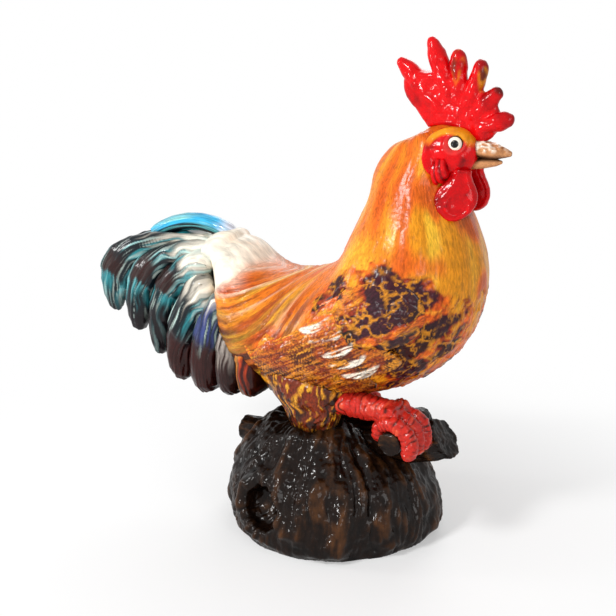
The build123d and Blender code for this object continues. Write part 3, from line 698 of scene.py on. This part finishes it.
def dress_sickle(number, hand):
    node = f"tail_sickle_{number + 1}_{hand}"
    piece, spots, outward = skin(node, voxel=0.7, relax=3)
    near = twin(spots)
    share, across = crest_place(near, CRESTS[number])
    along = share * SICKLE_RUN
    wander = noise(near * 0.1, 50 + number)
    hair = strands(along, across + 2.0 * wander, 26.0, 1.3, 60 + number)
    wash = strands(along, across, 40.0, 4.0, 70 + number)
    thin = strands(along, across + wander, 20.0, 0.75, 150 + number)
    reach = share + 0.05 * wander - 0.004 * np.abs(across) + 0.015 * hair
    end = UPPER_ENDS[number]

    upper = step(end + 0.02, end - 0.02, reach)
    lift = 0.4 * hair + 0.9 * upper * step(0.15, 0.4, share) + 0.3
    lift = lift + ROOT_SWELLS[number] * step(0.45, 0.15, share)
    lift = lift * step(*SICKLE_Y, np.abs(near[:, 1]))

    paint = teal_paint(hair, wash, thin)
    if number < 3:
        paint = outer_paint(paint, end, share, reach, across, hair, wash, wander)
    elif number < 5:
        paint = middle_paint(paint, number == 4, share, hair)
    elif number == 5:
        paint = grey_paint(share, hair, wash)
    else:
        paint = rusty_paint(share, hair, wash)
    if number < 6:
        pale = step(0.35, 0.06, share + 0.16 * hair + 0.06 * wander)
        paint = mix(paint, mix(CREAM, MINT, 0.4 * step(0.0, 0.7, wash)), pale)
    dress(piece, node, spots, outward, lift, paint, lay_of(along, across), QUILL)


def dress_top_sickle():
    piece, spots, outward = skin("top_sickle", voxel=0.6, relax=3)
    share, across = crest_place(spots, TOP_CREST)
    spots[:, 2] += TOP_THINNING * (across - across.max()) - TOP_DROP
    along = share * TOP_RUN
    flow = lay_of(along, across)
    hair = strands(along, across, 25.0, 2.0, 80)
    paint = mix(CYAN, MINT, step(0.1, 0.8, hair))
    paint = mix(paint, TEAL, 0.5 * step(-0.1, -0.7, hair))
    paint = mix(paint, SILVER, step(0.3, 0.08, share + 0.1 * hair))
    lower = mix(INK, mix(TEAL, MINT, 0.3), step(-0.1, 0.6, strands(along, across, 20.0, 1.2, 81)))
    paint = mix(paint, lower, step(0.4, 0.55, spread(across) + 0.06 * hair))
    paint = mix(paint, BROWN, step(0.12, 0.05, share) * step(-0.2, 0.4, hair))
    dress(piece, "top_sickle", spots, outward, 0.25 * hair, paint, flow, QUILL)


def dress_tail_core():
    """The core between the tail's sides, streaked as the feathers are."""
    piece, spots, outward = skin("tail_core", voxel=0.9, relax=2)
    share, across = crest_place(spots, CRESTS[1])
    along = share * SICKLE_RUN
    flow = lay_of(along, across)
    hair = strands(along, across, 24.0, 1.6, 141)
    paint = mix(INK, TEAL, step(-0.2, 0.6, hair))
    paint = mix(paint, CREAM, step(0.3, 0.1, share + 0.1 * hair))
    dress(piece, "tail_core", spots, outward, 0.2 * hair, paint, flow, QUILL)


# Head: comb with worn finger tips, face, earlobes, wattles, eyes and beak
WORN_TIPS = ((72.8, 286.0), (86.8, 281.0))
WEAR_NARROWING = 4.2
WEAR_STREAKS = np.array((0.7, 0.5, 0.16))
COMB_CHIP = (97.0, 275.5)
COMB_FRONT = (97.0, 255.0)
COMB_FRONT_REACH = 5.0
COMB_MIDDLE = (75.0, 252.0)
FLESH_VOXELS = {"face": 0.5, "earlobe": 0.45, "wattle": 0.5}
FACE = middle_of("face_right")
EYE = middle_of("eye_right")
GAZE = np.array((0.26, -0.96, 0.1))
EAR_FOLD = 3.6
MOUTH_CLOSING = {"upper_beak": -2.1, "lower_beak": 1.8}
# radii between which a look fades in
WEAR_RING = (12.0, 4.0)
CHIP_RING = (4.5, 2.0)
FINGER_RING = (26.0, 40.0)
EYE_LUMPS_RING = (5.0, 8.0)
EYE_RIM_RING = (7.0, 5.2)
EYE_PINK_RING = (6.4, 5.0)
BROW_RING = (9.8, 11.2)
IRIS_RING = (2.0, 2.3)
EYE_EDGE_RING = (3.6, 3.9)
# places between which a look fades in, along Z or X
BROW_Z = (243.0, 248.0)
HIGHLIGHT_SPECK_X = (106.0, 94.0)


def dress_comb():
    piece, spots, outward = skin("comb", voxel=0.75, relax=5)
    x, z = spots[:, 0], spots[:, 2]
    lumps = rough(spots * 0.1, 90, 3)
    wear = np.zeros_like(x)
    for tip in WORN_TIPS:
        wear = np.maximum(wear, step(*WEAR_RING, np.hypot((x - tip[0]) * WEAR_NARROWING, z - tip[1])))
    wear = wear * step(-0.25, 0.3, noise(spots * WEAR_STREAKS, 93))
    worn = mix(GOLD, BROWN, step(0.1, 0.6, noise(spots * WEAR_STREAKS, 92)))
    paint = mix(RED, WINE, 0.8 * step(-0.1, 0.6, lumps))
    paint = mix(paint, worn, 0.8 * wear)
    paint = mix(paint, UMBER, 0.8 * step(*CHIP_RING, side_distance(spots, COMB_CHIP)))
    lift = 1.1 * lumps + 0.35 * noise(spots * 0.35, 94) + 0.8
    lift = lift + step(*FINGER_RING, side_distance(spots, COMB_MIDDLE))
    lift = lift + swell(side_distance(spots, COMB_FRONT), COMB_FRONT_REACH)
    dress(piece, "comb", spots, outward, lift, paint, spots * 0.1, FLESH)


def face_look(near, lumps, lift, paint):
    """Smooth pink rim round the eye and gold brow feathers."""
    ring = side_distance(near, EYE)
    lift = lift * step(*EYE_LUMPS_RING, ring) + 0.5 * step(*EYE_RIM_RING, ring)
    paint = mix(paint, PINK, 0.4 * step(*EYE_PINK_RING, ring))
    brow = step(*BROW_RING, side_distance(near, FACE) + 0.6 * lumps) * step(*BROW_Z, near[:, 2])
    paint = mix(paint, mix(GOLD, ORANGE, 0.5 * step(-0.3, 0.5, lumps)), brow)
    return lift + 0.8 * brow, paint


def earlobe_look(near, lift, paint):
    """Upright folds, with painted shade between them."""
    folds = np.sin(near[:, 0] * 2.0 * math.pi / EAR_FOLD + near[:, 2] * 0.4)
    # painted shade: wine red in the hollows between the folds
    return lift + 0.5 * folds, mix(paint, WINE, step(-0.1, -0.9, folds))


def wattle_look(outward, lift, paint):
    """Raised rim round a darker middle."""
    edge = step(0.92, 0.6, np.abs(outward[:, 1]))
    return lift + 1.1 * edge - 0.3, mix(paint, WINE, 0.35 * (1.0 - edge))


def dress_flesh(name, hand):
    node = f"{name}_{hand}"
    piece, spots, outward = skin(node, FLESH_VOXELS[name], relax=3)
    near = twin(spots)
    lumps = rough(near * 0.16, 95, 3)
    lift = 0.6 * lumps + 0.1
    paint = mix(RED, WINE, step(0.1, 0.7, lumps))
    if name == "face":
        lift, paint = face_look(near, lumps, lift, paint)
    elif name == "earlobe":
        lift, paint = earlobe_look(near, lift, paint)
    else:
        lift, paint = wattle_look(outward, lift, paint)
    dress(piece, node, spots, outward, lift, paint, near * 0.1, FLESH)


def dress_eye(hand):
    """Black pupil, cream iris and dark rim."""
    node = f"eye_{hand}"
    piece, spots, outward = skin(node, voxel=0.22, relax=2)
    near = twin(spots)
    ring = np.linalg.norm(np.cross(near - EYE, GAZE), axis=1)
    paint = mix(BLACK, CREAM, step(*IRIS_RING, ring))
    paint = mix(paint, UMBER, step(*EYE_EDGE_RING, ring))
    dress(piece, node, spots, outward, np.zeros_like(ring), paint, near * 0.1, ENAMEL)


def dress_beak(node):
    """Tan horn with painted shade along the mouth, and pale specks on raised crumbs at the root of the
    upper half as a painted highlight.
    """
    piece, spots, outward = skin(node, voxel=0.45, relax=3)
    low, high = box_of(node)
    share = (spots - low) / (high - low)
    tipward, upward = share[:, 0], share[:, 2]
    lumps = rough(spots * 0.3, 98, 3)
    crumbs = noise(spots * 0.7, 99)
    if node == "upper_beak":
        mouth = upward
        highlight_specks = step(*HIGHLIGHT_SPECK_X, spots[:, 0]) * step(0.35, 0.6, mouth)
    else:
        mouth = 1.0 - upward
        highlight_specks = np.zeros_like(mouth)
    paint = mix(TAN, BROWN, 0.6 * step(0.1, 0.8, lumps))
    # painted shade: dark brown where the two halves face each other along the mouth
    paint = mix(paint, mix(BROWN, UMBER, 0.8), 0.95 * step(0.4, 0.15, mouth))
    # painted highlight: pale specks on the raised crumbs near the root of the upper half
    paint = mix(paint, CREAM, 0.9 * highlight_specks * step(-0.3, 0.2, crumbs))
    lift = 0.25 * lumps + 0.7 * highlight_specks * crumbs
    spots[:, 2] += MOUTH_CLOSING[node] * step(-0.3, 0.6, tipward) * (1.0 - mouth)
    dress(piece, node, spots, outward, lift, paint, spots * 0.1, HORN)


# Legs: feathered thighs, shanks and toes
# upright axes of the thighs, as X and Y
THIGH_AXES = {"right": (-2.0, -26.0), "left": (-10.0, 26.0)}
THIGH_RADIUS = 15.0
# length and width
THIGH_FEATHER = (15.0, 5.0)
# heights between which the thigh darkens and narrows
THIGH_DARK_Z = (77.0, 69.0)
THIGH_NARROW_Z = (84.0, 66.0)
PERCH = middle_of("perch_branch")
TOE_RADIUS = 14.0
# distances from the perch's axis between which the shank becomes toes
TOE_RING = (19.5, 17.5)
RIGHT_HOCK = np.array((10.0, -26.0, 90.0))
LEFT_HEEL = np.array((16.0, 26.0, 63.0))
SCUTE = 3.6


def dress_thigh(hand):
    """Short feathers hanging down, umber with yellow nets."""
    node = f"thigh_{hand}"
    piece, spots, outward = skin(node, voxel=0.85, relax=10)
    x, y, z = spots.T
    axis = THIGH_AXES[hand]
    along = -z
    across = np.arctan2(y - axis[1], x - axis[0]) * THIGH_RADIUS
    wander = noise(spots * 0.12, 101)
    bent = across + 5.0 * wander
    tall, inset, lot = plumes(along + 4.0 * wander, bent, THIGH_FEATHER, 0.3, 102)
    hair = strands(along, bent, 4.0, 1.1, 104)
    net = step(0.1, 0.8, hair + 0.5 * noise(spots * 0.16, 105))
    paint = mix(mix(UMBER, mix(BROWN, RUST, 0.5), lot), mix(GOLD, YELLOW, 0.6 * lot), 0.95 * net)
    paint = mix(paint, MAROON, 0.4 * step(0.3, 0.1, inset))
    paint = mix(paint, PITCH, 0.95 * step(*THIGH_DARK_Z, z + 5.0 * wander))
    lift = 1.3 * tall + 0.3 * hair + 1.2 * wander - 1.5 * step(*THIGH_NARROW_Z, z)
    dress(piece, node, spots, outward, lift, paint, lay_of(along, across), FEATHER)


def dress_foot(hand):
    """Ring scutes along the shank and the toes, with painted shade in their grooves."""
    node = f"foot_{hand}"
    piece, spots, outward = skin(node, voxel=0.5, relax=2)
    if hand == "right":
        toes = step(*TOE_RING, side_distance(spots, PERCH))
        round_perch = np.arctan2(spots[:, 0] - PERCH[0], spots[:, 2] - PERCH[2]) * TOE_RADIUS
        ring = np.where(toes > 0.5, round_perch, np.linalg.norm(spots - RIGHT_HOCK, axis=1))
    else:
        ring = np.linalg.norm(spots - LEFT_HEEL, axis=1)
    wander = noise(spots * 0.2, 110)
    scutes = np.abs(np.sin(ring * math.pi / SCUTE + 2.2 * wander))
    lift = 0.45 * scutes + 0.8 * noise(spots * 0.2, 111) + 0.3 * noise(spots * 0.5, 113) - 0.2
    # painted shade: oxblood in the grooves between the scutes
    groove_shade = step(0.5, 0.05, scutes) * step(-0.5, 0.3, noise(spots * 0.28, 114))
    # painted shade: black patches in and around the grooves, away from the scute crests
    patchy_crease_shade = step(0.25, 0.6, noise(spots * 0.17, 112)) * step(0.85, 0.3, scutes)
    paint = mix(CORAL, SALMON, 0.6 * step(0.0, 0.8, wander) * scutes)
    paint = mix(paint, OXBLOOD, 0.85 * groove_shade)
    paint = mix(paint, PITCH, 0.8 * patchy_crease_shade)
    dress(piece, node, spots, outward, lift, paint, spots * 0.1, SCALE)


# Stump and branches: nearly black bark with glossy flutes, a painted highlight on the ridges and painted
# shade in the pits
BARK_VOXELS = {"stump_base": 1.05, "log_branch": 0.8, "perch_branch": 0.6, "stub_branch": 0.7}
KNOT = np.array((-16.5, -58.0, 27.0))
KNOT_RADIUS = 18.0
KNOT_REACH = 5.0
KNOT_HEIGHT = 4.0
LIP = np.array((22.0, -62.0, 8.0))
LIP_STRETCH = np.array((0.6, 1.0, 1.2))
LIP_REACH = 9.0
# middles of the swollen collars round the ankles, as X and Y
ANKLES = ((-2.0, -26.0), (-12.0, 26.0))
ANKLE_RADIUS = 14.0
ANKLE_REACH = 6.0
SWELL_HEIGHT = 5.0
# heights between which the collars and the stump's relief fade in
ANKLE_Z = (40.0, 52.0)
GROUND_Z = (0.0, 6.0)
# flutes round the stump and length in which they climb, flute lengths of a branch, relief heights
STUMP_FLUTES = 4.2
STUMP_RISE = 55.0
BRANCH_FLUTES = np.array((26.0, 7.0, 7.0))
STUMP_RELIEF = 4.2
BRANCH_RELIEF = 1.3
# how much finer the small flutes are
STUMP_FINER = np.array((3.2, 3.2, 1.6))
BRANCH_FINER = 2.5


def stump_flow(spots):
    """Flutes that climb the stump, wandering a little."""
    x, y, z = spots.T
    way = np.arctan2(y, x) + 0.25 * rough(spots * 0.025, 131, 2)
    return np.stack((STUMP_FLUTES * np.cos(way), STUMP_FLUTES * np.sin(way), z / STUMP_RISE), axis=1)


def knot_rim(spots):
    """Raised and uneven rim of the knot hollow."""
    ring = np.linalg.norm(spots - KNOT, axis=1) - KNOT_RADIUS
    return swell(ring, KNOT_REACH) * (0.7 + 0.6 * noise(spots * 0.08, 132))


def stump_swells(spots):
    """The lip at the front of the foot and the collars round the ankles."""
    x, y, z = spots.T
    total = swell(np.linalg.norm((spots - LIP) * LIP_STRETCH, axis=1), LIP_REACH)
    for place in ANKLES:
        ring = np.hypot(x - place[0], y - place[1]) - ANKLE_RADIUS
        total += swell(ring, ANKLE_REACH) * step(*ANKLE_Z, z)
    return total


def dress_bark(node):
    piece, spots, outward = skin(node, BARK_VOXELS[node], relax=2)
    if node == "stump_base":
        flow = stump_flow(spots)
        finer = STUMP_FINER
        size = STUMP_RELIEF
        rim = knot_rim(spots)
        swells = KNOT_HEIGHT * rim + SWELL_HEIGHT * stump_swells(spots)
        free = step(*GROUND_Z, spots[:, 2])
    else:
        flow = spots / BRANCH_FLUTES
        finer = BRANCH_FINER
        size = BRANCH_RELIEF
        rim = 0.0
        swells = 0.0
        free = 1.0
    flutes = 1.0 - 2.0 * np.abs(rough(flow, 120, 3))
    fine = 1.0 - 2.0 * np.abs(rough(flow * finer, 133, 3))
    pits = rough(spots * 0.12, 125, 4)
    lift = free * (size * (0.62 * flutes + 0.6 * pits + 0.3 * fine - 0.5) + swells)
    # painted highlight: warm brown on the ridges of the flutes, the bumps and the knot's rim
    paint = mix(PITCH, RIDGE_HIGHLIGHT, 0.45 * step(1.15, 2.0, flutes + 0.7 * fine + 0.9 * pits + 0.4 * rim))
    # painted shade: black in the pits and the low flutes
    paint = mix(paint, BLACK, 0.7 * step(0.15, -0.5, pits + 0.4 * flutes))
    dress(piece, node, spots, outward, lift, paint, spots * 0.1, WOOD)


def dress_steel():
    """Bare steel for the hidden rods, dowel and pins."""
    steel = bpy.data.materials.new("steel_rod")
    steel.use_nodes = True
    set_inputs(steel.node_tree.nodes["Principled BSDF"],
               {"Metallic": 1.0, "Roughness": 0.35, "Base Color": (0.55, 0.55, 0.56, 1.0)})
    for node in ("leg_rods", "tail_dowel", "comb_pins"):
        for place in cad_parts[node].material_slots:
            place.material = steel


# Floor, background, lights and camera, with places and sizes in metres
FLOOR_SIZE = 8.0
SHADOW_NEAR = 0.05
SHADOW_FAR = 0.34
SHADOW_WHITE = 0.35
SKY_LIGHT = 0.35
MIDDLE = Vector((0.0, 0.0, 0.15))
# name, place, size and power
LAMPS = (
    ("key", (-0.35, -0.95, 0.95), 0.2, 10.5),
    ("low", (-0.45, -1.15, 0.2), 0.11, 4.0),
    ("side", (-1.05, -0.46, 0.38), 0.2, 2.6),
    ("fill", (0.95, -0.7, 0.45), 0.45, 3.5),
    ("back", (-0.3, 0.95, 0.8), 0.7, 6.0),
)
CAMERA_PLACE = Vector((0.3192, -0.6004, 0.350))
CAMERA_AIM = Vector((-0.471, 0.830, -0.298)).normalized()
FOCAL_LENGTH = 68.46


def shown_rays(tree):
    """1 for rays that show the background: straight, mirrored or passing through."""
    ray = add_node(tree, "LightPath")
    total = ray.outputs["Is Camera Ray"]
    for kind in ("Is Glossy Ray", "Is Transmission Ray"):
        add = add_node(tree, "Math")
        add.operation = "ADD"
        add.use_clamp = True
        tree.links.new(total, add.inputs[0])
        tree.links.new(ray.outputs[kind], add.inputs[1])
        total = add.outputs["Value"]
    return total


def lay_floor():
    """White paper that keeps the shadow near the figure and fades into the background."""
    bpy.ops.mesh.primitive_plane_add(size=FLOOR_SIZE, location=(0.0, 0.0, 0.0))
    floor = bpy.context.object
    floor.name = "floor"
    white = bpy.data.materials.new("white_paper")
    white.use_nodes = True
    tree = white.node_tree
    join = tree.links.new
    paper = tree.nodes["Principled BSDF"]
    set_inputs(paper, {"Base Color": (0.9, 0.9, 0.9, 1.0), "Roughness": 0.9})
    blank = add_node(tree, "Emission")
    spot = add_node(tree, "NewGeometry")
    reach = add_node(tree, "VectorMath")
    reach.operation = "LENGTH"
    join(spot.outputs["Position"], reach.inputs[0])
    fade = add_node(tree, "MapRange", From_Min=SHADOW_NEAR, From_Max=SHADOW_FAR, To_Min=SHADOW_WHITE)
    fade.interpolation_type = "SMOOTHSTEP"
    join(reach.outputs["Value"], fade.inputs["Value"])
    share = add_node(tree, "Math")
    share.operation = "MULTIPLY"
    join(shown_rays(tree), share.inputs[0])
    join(fade.outputs["Result"], share.inputs[1])
    blend = add_node(tree, "MixShader")
    join(share.outputs["Value"], blend.inputs["Fac"])
    join(paper.outputs["BSDF"], blend.inputs[1])
    join(blank.outputs["Emission"], blend.inputs[2])
    join(blend.outputs["Shader"], tree.nodes["Material Output"].inputs["Surface"])
    floor.data.materials.append(white)


def hang_sky():
    """A white background that lights the figure only softly."""
    world = bpy.data.worlds.new("studio")
    scene.world = world
    world.use_nodes = True
    tree = world.node_tree
    sky = tree.nodes["Background"]
    sky.inputs["Color"].default_value = (1.0, 1.0, 1.0, 1.0)
    level = add_node(tree, "MapRange", To_Min=SKY_LIGHT, To_Max=1.0)
    tree.links.new(shown_rays(tree), level.inputs["Value"])
    tree.links.new(level.outputs["Result"], sky.inputs["Strength"])


def hang_lamp(name, place, size, power):
    lamp = bpy.data.lights.new(name, "AREA")
    lamp.size = size
    lamp.energy = power
    holder = bpy.data.objects.new(name, lamp)
    holder.location = place
    holder.rotation_euler = (MIDDLE - Vector(place)).to_track_quat("-Z", "Y").to_euler()
    scene.collection.objects.link(holder)


def set_camera():
    lens = bpy.data.cameras.new("camera")
    lens.sensor_width = 36.0
    lens.lens = FOCAL_LENGTH
    camera = bpy.data.objects.new("camera", lens)
    right = CAMERA_AIM.cross(Vector((0.0, 0.0, 1.0))).normalized()
    over = right.cross(CAMERA_AIM)
    turned = Matrix((right, over, -CAMERA_AIM)).transposed().to_4x4()
    camera.matrix_world = Matrix.Translation(CAMERA_PLACE) @ turned
    scene.collection.objects.link(camera)
    scene.camera = camera


dress_body()
for hand in HANDS:
    for layer in ("shoulder", "coverts", "primaries"):
        dress_wing(layer, hand)
for number in range(len(CRESTS)):
    for hand in HANDS:
        dress_sickle(number, hand)
dress_top_sickle()
dress_comb()
for hand in HANDS:
    for name in FLESH_VOXELS:
        dress_flesh(name, hand)
    dress_eye(hand)
for node in ("upper_beak", "lower_beak"):
    dress_beak(node)
for hand in HANDS:
    dress_thigh(hand)
for hand in HANDS:
    dress_foot(hand)
for node in BARK_VOXELS:
    dress_bark(node)
dress_tail_core()
dress_steel()

lay_floor()
hang_sky()
for lamp in LAMPS:
    hang_lamp(*lamp)
set_camera()
scene.view_settings.view_transform = "Standard"
